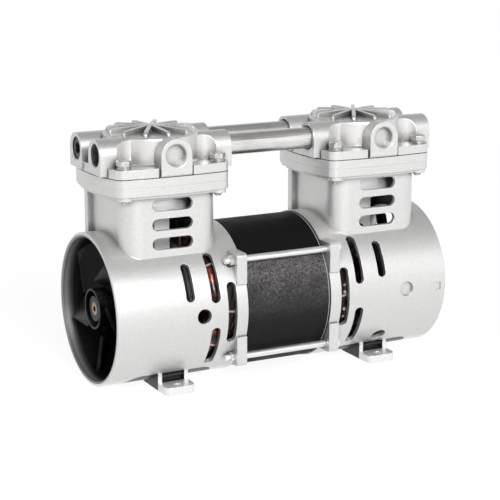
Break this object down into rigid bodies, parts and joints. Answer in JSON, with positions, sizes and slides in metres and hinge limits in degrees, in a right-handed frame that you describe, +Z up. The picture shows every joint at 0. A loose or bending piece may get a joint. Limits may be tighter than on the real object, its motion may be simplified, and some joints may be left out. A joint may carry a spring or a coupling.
{
  "type": "oil-free piston air compressor",
  "caption": "Oil-free piston air compressor: a middle motor, a slotted crankcase with a cylinder head and fan at each end, and steel tubes joining the heads.",
  "frame": {"origin": "on the plane the feet stand on, under the middle of the shaft and of the machine", "axes": "+X along the motor shaft, from the fan end with the open port to the other fan end; +Z up, away from the feet; the blind arched bosses of the heads face -Y"},
  "size_m": [0.276, 0.114, 0.1921],
  "materials": {
    "casting": "satin",
    "lamination": "satin",
    "winding": "gloss",
    "fastener": "satin",
    "sleeve": "polished",
    "valve_plate": "satin",
    "gasket": "matte",
    "o_ring": "matte",
    "tube": "satin",
    "plug": "satin",
    "spring_steel": "polished",
    "bearing_steel": "polished",
    "shaft": "satin",
    "rotor": "satin",
    "iron": "matte",
    "fan": "gloss",
    "rod": "satin",
    "cup": "matte"
  },
  "bodies": {
    "housing": {"crankcase_left": "casting", "crankcase_right": "casting", "stator_core": "lamination", "stator_windings": "winding", "tie_bolts": "fastener", "cylinder_left": "sleeve", "cylinder_right": "sleeve", "cylinder_o_rings": "o_ring", "valve_plate_left": "valve_plate", "valve_plate_right": "valve_plate", "head_gasket_left": "gasket", "head_gasket_right": "gasket", "cylinder_head_left": "casting", "cylinder_head_right": "casting", "head_bolts_left": "fastener", "head_bolts_right": "fastener", "head_washers": "fastener", "crossover_tube_front": "tube", "crossover_tube_rear": "tube", "tube_o_rings": "o_ring", "port_plug_rear": "plug", "port_plug_front": "plug", "reed_stop_left": "spring_steel", "reed_stop_right": "spring_steel", "reed_rivets": "fastener", "main_bearing_outer_rings": "bearing_steel"},
    "rotor_group": {"motor_shaft": "shaft", "rotor_core": "rotor", "fan_left": "fan", "fan_right": "fan", "eccentric_left": "iron", "eccentric_right": "iron", "eccentric_set_screws": "plug", "main_bearing_inner_rings": "bearing_steel", "main_bearing_balls": "bearing_steel"},
    "piston_left": {"connecting_rod_left": "rod", "rod_bearing_left": "bearing_steel", "piston_cup_left": "cup", "piston_retainer_left": "rod", "piston_screw_left": "fastener"},
    "piston_right": {"connecting_rod_right": "rod", "rod_bearing_right": "bearing_steel", "piston_cup_right": "cup", "piston_retainer_right": "rod", "piston_screw_right": "fastener"},
    "intake_reed_left": {"intake_reed_left": "spring_steel"},
    "exhaust_reed_left": {"exhaust_reed_left": "spring_steel"},
    "intake_reed_right": {"intake_reed_right": "spring_steel"},
    "exhaust_reed_right": {"exhaust_reed_right": "spring_steel"}
  },
  "joints": [
    {"name": "shaft_spin", "type": "hinge", "parent": "housing", "child": "rotor_group", "pos_m": [0, 0, 0.0585], "axis": [1, 0, 0], "continuous": true},
    {"name": "piston_left_slide", "type": "slide", "parent": "housing", "child": "piston_left", "axis": [0, 0, 1], "range_m": [-0.014, 0]},
    {"name": "piston_right_slide", "type": "slide", "parent": "housing", "child": "piston_right", "axis": [0, 0, 1], "range_m": [0, 0.014]},
    {"name": "intake_reed_left_lift", "type": "hinge", "parent": "housing", "child": "intake_reed_left", "pos_m": [-0.1, -0.012, 0.15435], "axis": [0, 1, 0], "range_deg": [0, 3], "stiffness_Nm_per_rad": 0.02, "springref_deg": -2.86},
    {"name": "exhaust_reed_left_lift", "type": "hinge", "parent": "housing", "child": "exhaust_reed_left", "pos_m": [-0.1, 0.012, 0.1606], "axis": [0, -1, 0], "range_deg": [0, 4], "stiffness_Nm_per_rad": 0.02, "springref_deg": -2.86},
    {"name": "intake_reed_right_lift", "type": "hinge", "parent": "housing", "child": "intake_reed_right", "pos_m": [0.072, -0.012, 0.15435], "axis": [0, 1, 0], "range_deg": [0, 3], "stiffness_Nm_per_rad": 0.02, "springref_deg": -2.86},
    {"name": "exhaust_reed_right_lift", "type": "hinge", "parent": "housing", "child": "exhaust_reed_right", "pos_m": [0.072, 0.012, 0.1606], "axis": [0, -1, 0], "range_deg": [0, 4], "stiffness_Nm_per_rad": 0.02, "springref_deg": -2.86}
  ],
  "couplings": [
    {"joint": "piston_right_slide", "follows": "piston_left_slide", "ratio": -1}
  ]
}
